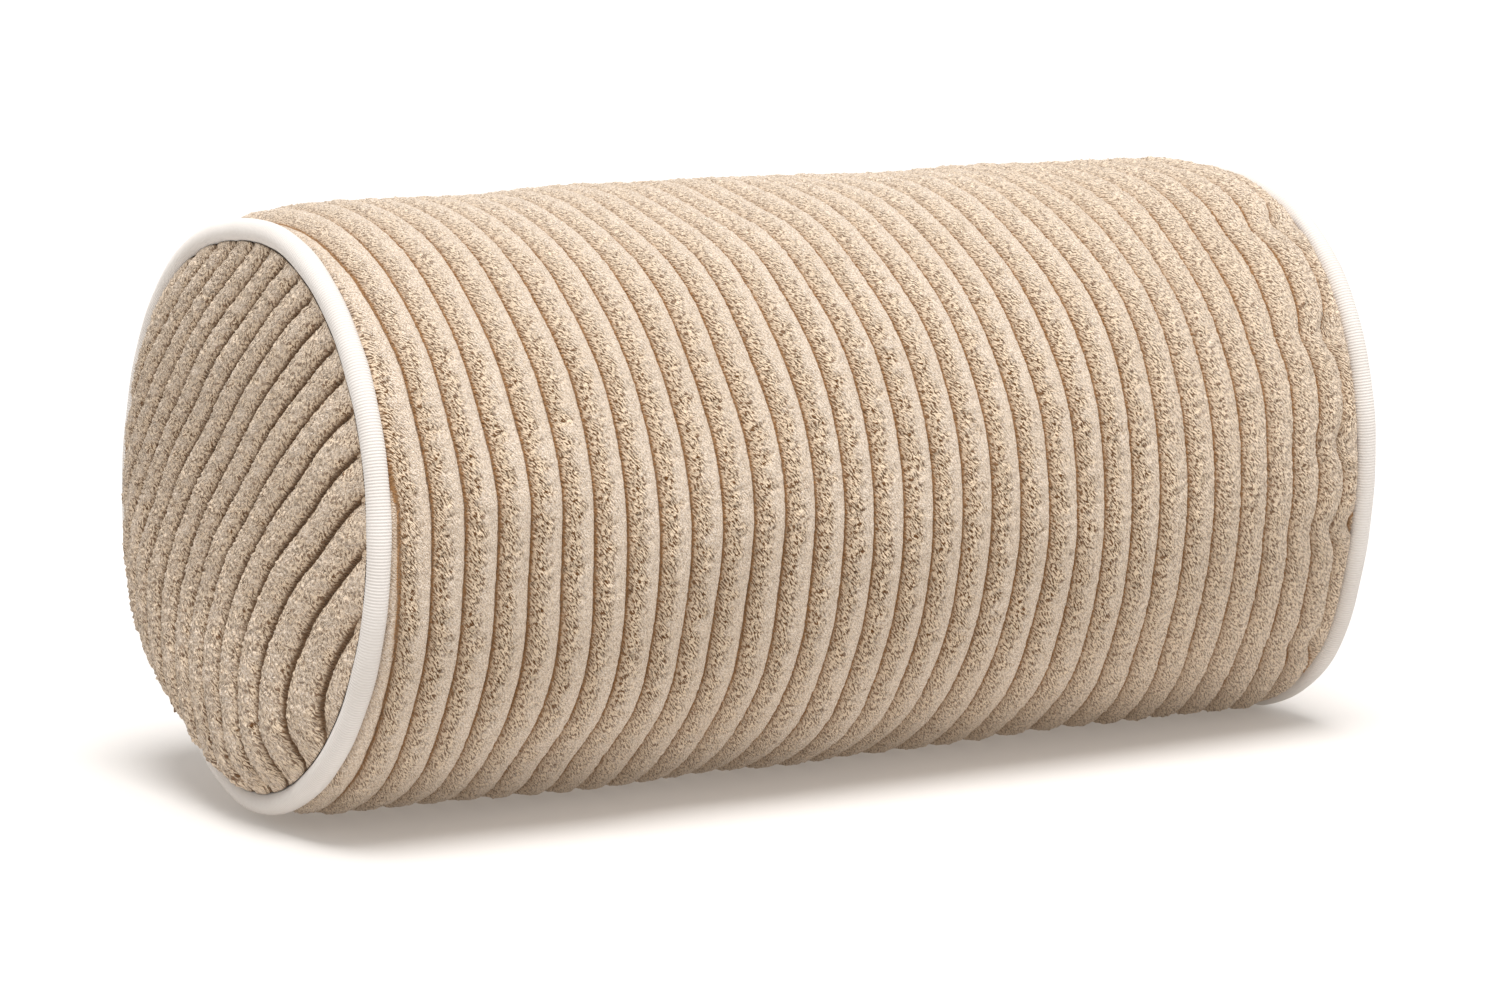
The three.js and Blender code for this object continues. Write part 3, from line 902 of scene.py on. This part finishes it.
def terry(name, colours, covered_from, covered_to):
    """Ribbed terry velour: brushed velour and open loops on the ribs, and the golden base cloth darkened by
    painted shade in the grooves; painted shade also lies on one flank of each rib, down the flanks and
    between the loops.
    """
    brushed, shaded, strand, gap, ground_and_shade = colours
    f = Finish(name)
    rib = f.add("ShaderNodeAttribute", attribute_name="rib").outputs["Fac"]
    pile_shade = f.add("ShaderNodeAttribute", attribute_name="pile_shade").outputs["Fac"]
    loops = f.strands(0.46, 1.75, 32.0)
    curls = f.strands(0.60, 0.75, -40.0)
    fibres = f.strands(0.40, 0.5, 20.0)
    patches = f.noise(f.place(), 22.0, 3.0, 0.55)
    tuft = f.sum(loops, 0.75, curls, 0.25)
    velour = f.mix(f.ramp(fibres, 0.62, 0.38, 0.0, 0.9), brushed, shaded)
    velour = f.mix(f.ramp(curls, 0.48, 0.30, 0.0, 0.7), velour, shaded)
    velour = f.mix(f.ramp(patches, 0.35, 0.75, 0.0, 0.25), velour, shaded)
    # Light loop tops against painted shade in the gaps between them.
    looped = f.mix(f.ramp(tuft, 0.53, 0.42), strand, gap)
    # One flank of each rib takes the darker looped colour: open loops and painted shade.
    cloth = f.mix(pile_shade, velour, looped)
    # Painted shade: each rib's flanks grow darker and more golden down toward the groove.
    flank = f.ramp(rib, 0.80, 0.30, 0.0, 0.40)
    cloth = f.mix(flank, cloth, f.mix(0.5, ground_and_shade, shaded))
    # Painted shade in the grooves: the golden base cloth darkened, with a soft edge where the loops give
    # way to it.
    covered = f.ramp(f.sum(rib, 1.0, curls, 0.25), covered_from, covered_to)
    groove_shade = f.mix(f.maths("MULTIPLY", curls, 0.4), ground_and_shade, shaded)
    colour = f.mix(covered, groove_shade, cloth)
    deep = f.maths("MULTIPLY_ADD", pile_shade, 0.80, 0.20)
    height = f.sum(f.maths("MULTIPLY", tuft, deep), 1.6, fibres, 0.35)
    f.set(Base_Color=colour, Roughness=0.95, Normal=f.bump(height, 0.0018, 1.0))
    f.set(Specular_IOR_Level=0.12, Sheen_Weight=0.15, Sheen_Roughness=0.45)
    return f.set(Sheen_Tint=paint(252, 240, 228))


def ribbed_tape(name, colour, shadow, pitch):
    """Woven cotton tape with a fine rib across it."""
    f = Finish(name)
    ribs = f.wave(f.weave(0.0, 1.0 / pitch), "Y", distortion=0.6, scale=TURN / 20, detail=1.0)
    threads = f.noise(f.weave(2.5, 4.0), 1.0, 2.0, 0.6)
    patches = f.noise(f.place(), 30.0, 2.0)
    cloth = f.mix(f.maths("MULTIPLY", ribs, 0.28), colour, shadow)
    cloth = f.mix(f.ramp(patches, 0.3, 0.8, 0.0, 0.25), cloth, shadow)
    height = f.maths("MULTIPLY_ADD", threads, 0.5, f.maths("SUBTRACT", 1.0, ribs))
    f.set(Base_Color=cloth, Roughness=0.85, Normal=f.bump(height, 0.00012, 0.8))
    return f.set(Specular_IOR_Level=0.25, Sheen_Weight=0.1, Sheen_Roughness=0.4)


def twisted_cotton(name, colour, shadow):
    """Loose cotton yarn: cord and sewing thread."""
    f = Finish(name)
    twist = f.wave(f.weave(0.35, 0.5), "DIAGONAL", distortion=1.2)
    fuzz = f.noise(f.weave(4.0, 4.0), 1.0, 2.0, 0.7)
    cloth = f.mix(f.maths("MULTIPLY", twist, 0.4), colour, shadow)
    height = f.maths("MULTIPLY_ADD", fuzz, 0.6, twist)
    f.set(Base_Color=cloth, Roughness=0.9, Normal=f.bump(height, 0.00015, 0.8))
    return f.set(Specular_IOR_Level=0.2, Sheen_Weight=0.15)


def herringbone(name, colour, shadow):
    """Zip tape: a fine herringbone weave."""
    f = Finish(name)
    up = f.wave(f.weave(1.4, 1.4), "DIAGONAL")
    down = f.wave(f.weave(1.4, -1.4), "DIAGONAL")
    stripe = f.wave(f.weave(0.30, 0.0), "X")
    split = f.maths("GREATER_THAN", stripe, 0.5)
    twill = f.add("ShaderNodeMix", {0: split, 2: up, 3: down}).outputs[0]
    dust = f.noise(f.place(), 60.0, 3.0)
    cloth = f.mix(f.maths("MULTIPLY", twill, 0.5), colour, shadow)
    cloth = f.mix(f.ramp(dust, 0.4, 0.8, 0.0, 0.2), cloth, shadow)
    f.set(Base_Color=cloth, Roughness=0.75, Normal=f.bump(twill, 0.00012, 0.9))
    return f.set(Specular_IOR_Level=0.3, Sheen_Weight=0.08)


def nylon(name, colour, shadow):
    """Moulded nylon of the zip's coils."""
    f = Finish(name)
    cloud = f.noise(f.place(), 400.0, 2.0)
    tone = f.mix(f.ramp(cloud, 0.35, 0.7, 0.0, 0.6), colour, shadow)
    f.set(Base_Color=tone, Roughness=f.ramp(cloud, 0.3, 0.8, 0.28, 0.42))
    return f.set(Specular_IOR_Level=0.5)


def plated_metal(name, colour, shadow):
    """Brushed nickel plate, a little rubbed."""
    f = Finish(name)
    brushed = f.noise(f.place(300.0, 3000.0), 1.0, 3.0)
    rubbed = f.noise(f.place(), 500.0, 3.0, 0.6)
    tone = f.mix(f.ramp(rubbed, 0.4, 0.7, 0.0, 0.4), colour, shadow)
    rough = f.ramp(brushed, 0.3, 0.7, 0.26, 0.36)
    f.set(Base_Color=tone, Roughness=rough, Normal=f.bump(brushed, 0.000004, 0.4))
    return f.set(Metallic=1.0)


def plain_weave(name, colour, shadow, threads, gloss):
    """Fine plain-woven cloth: the liner and the blank label."""
    f = Finish(name)
    warp = f.wave(f.weave(threads, 0.0), "X", distortion=0.2)
    weft = f.wave(f.weave(0.0, threads), "Y", distortion=0.2)
    cross = f.maths("MULTIPLY", warp, weft)
    patches = f.noise(f.place(), 18.0, 3.0)
    tone = f.mix(f.maths("MULTIPLY", cross, 0.35), colour, shadow)
    tone = f.mix(f.ramp(patches, 0.35, 0.8, 0.0, 0.3), tone, shadow)
    f.set(Base_Color=tone, Roughness=1.0 - gloss, Normal=f.bump(cross, 0.0001, 0.6))
    return f.set(Specular_IOR_Level=0.3, Sheen_Weight=0.08)


def fibre_mass(name, colour, shadow):
    """Carded polyester fibre."""
    f = Finish(name)
    strands = f.noise(f.place(120.0, 600.0), 1.0, 5.0, 0.7)
    tone = f.mix(f.ramp(strands, 0.35, 0.7, 0.0, 0.8), colour, shadow)
    f.set(Base_Color=tone, Roughness=1.0, Normal=f.bump(strands, 0.001, 0.8))
    return f.set(Specular_IOR_Level=0.1, Sheen_Weight=0.3)


# ---------------------------------------------------------------- the scene


def build_cover():
    """The ribbed cover: its body and its two end panels."""
    brushed = paint(238, 226, 214)
    shaded = paint(196, 175, 151)
    strand = paint(252, 229, 200)
    # Painted shade between the loops.
    gap = paint(112, 74, 36)
    # The golden base cloth of the grooves, darkened with painted shade; on the end panels it is painted
    # darker brown still, as shade.
    ground_and_shade = paint(146, 98, 44)
    deep_groove_shade = paint(104, 70, 36)
    cloth = terry("ribbed_terry", (brushed, shaded, strand, gap, ground_and_shade), 0.28, 0.50)
    end_cloth = terry("ribbed_terry_ends", (brushed, shaded, strand, gap, deep_groove_shade), 0.35, 0.72)
    cover = build_body(cloth)
    build_panel("left_end", "end_panel_left", left_ring, left_dome, left_panel_field, -1, end_cloth)
    build_panel("right_end", "end_panel_right", right_ring, right_dome, right_panel_field, 1, end_cloth)
    return cover


def build_trim(cover):
    """Piping, cords, stitches, the zip's cloth parts and the label."""
    cream = ribbed_tape("cream_piping", paint(228, 223, 218), paint(190, 180, 170), 1.0)
    cotton = twisted_cotton("cotton_yarn", paint(236, 226, 210), paint(190, 172, 148))
    build_piping("left_piping", "piping_tape_left", left_ring, cream)
    build_piping("right_piping", "piping_tape_right", right_ring, cream)
    build_cord("left_piping_cord", "piping_cord_left", left_ring, cotton)
    build_cord("right_piping_cord", "piping_cord_right", right_ring, cotton)
    tape = herringbone("zip_tape_weave", paint(230, 214, 194), paint(184, 164, 138))
    coil = nylon("coil_nylon", paint(240, 230, 214), paint(214, 198, 176))
    build_zip_tape("upper_zip_tape", "zip_tape_upper", -1, tape)
    build_zip_tape("lower_zip_tape", "zip_tape_lower", 1, tape)
    build_coil("upper_coil", "zip_coil_upper", -1, coil)
    build_coil("lower_coil", "zip_coil_lower", 1, coil)
    build_stitches(cotton)
    satin = plain_weave("label_satin", paint(244, 243, 240), paint(214, 212, 208), 1.6, 0.45)
    build_label(satin)


def build_insert():
    """The liner and its filling."""
    liner = plain_weave("liner_cotton", paint(240, 238, 232), paint(212, 208, 198), 1.2, 0.1)
    build_liner(liner)
    build_liner_end("liner_left", "liner_end_left", left_ring, left_dome, -1, liner)
    build_liner_end("liner_right", "liner_end_right", right_ring, right_dome, 1, liner)
    build_fill(fibre_mass("polyester_fibre", paint(246, 246, 244), paint(205, 206, 206)))


def dress_metal():
    """The zip's metal CAD parts keep their shape, with eased edges and a plated finish."""
    metal = plated_metal("nickel_plate", paint(232, 228, 220), paint(186, 180, 170))
    stops = ("zip_top_stop_upper", "zip_top_stop_lower", "zip_bottom_stop")
    for name in ("zip_slider", "zip_pull_tab", *stops):
        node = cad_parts[name]
        node.data.materials.clear()
        node.data.materials.append(metal)
        ease = node.modifiers.new("eased_edges", "BEVEL")
        ease.width = 0.18 * MM
        ease.segments = 2
        ease.limit_method = "ANGLE"
        ease.angle_limit = math.radians(35)


def build_floor():
    """A wide pale floor with a faint even glow."""
    half = 30.0 / MM
    corners = np.array([[-half, -half], [half, -half], [half, half], [-half, half]])
    points = np.column_stack([corners, np.full(4, FLOOR)])
    floor = make_object("studio_floor", points, [np.array([[0, 1, 2, 3]])])
    f = Finish("studio_white")
    grain = f.ramp(f.noise(f.place(), 3.0, 2.0), 0.3, 0.7)
    f.set(Base_Color=f.mix(grain, paint(201, 199, 197), paint(204, 202, 200)))
    f.set(Roughness=0.9, Specular_IOR_Level=0.1)
    f.set(Emission_Color=paint(255, 246, 236), Emission_Strength=0.22)
    floor.data.materials.append(f.material)


def add_sun(name, strength, spread, direction, colour):
    """A soft distant light shining along a direction."""
    data = bpy.data.lights.new(name, "SUN")
    data.energy = strength
    data.angle = math.radians(spread)
    data.color = colour
    lamp = bpy.data.objects.new(name, data)
    bpy.context.scene.collection.objects.link(lamp)
    lamp.rotation_euler = Vector(direction).to_track_quat("-Z", "Y").to_euler()


def light_scene():
    """White surroundings, a soft key from above and a little in front, and a weak light from the right."""
    surround = 0.50
    world = bpy.data.worlds.new("studio")
    bpy.context.scene.world = world
    world.use_nodes = True
    back = world.node_tree.nodes["Background"]
    back.inputs[0].default_value = (1.0, 1.0, 1.0, 1.0)
    back.inputs[1].default_value = surround
    add_sun("key", 3.75, 32, (0.10, 0.27, -0.95), (1.0, 0.99, 0.985))
    add_sun("side", 0.24, 40, (-0.75, 0.55, -0.42), (1.0, 0.99, 0.98))


def add_camera():
    """The camera: a long lens, a little above the pillow and to the left of its front."""
    spot = (-858.3, -1426.5, 246.8 + AXIS_Z)
    turn, dip = 30.96, 8.78
    data = bpy.data.cameras.new("camera")
    data.lens = 114.8
    data.sensor_width = 36.0
    data.clip_start = 0.05
    data.clip_end = 100.0
    camera = bpy.data.objects.new("camera", data)
    bpy.context.scene.collection.objects.link(camera)
    camera.location = [value * MM for value in spot]
    camera.rotation_euler = (math.radians(90 - dip), 0.0, math.radians(-turn))
    bpy.context.scene.camera = camera


bpy.context.scene.view_settings.view_transform = "Standard"
build_trim(build_cover())
build_insert()
dress_metal()
build_floor()
light_scene()
add_camera()
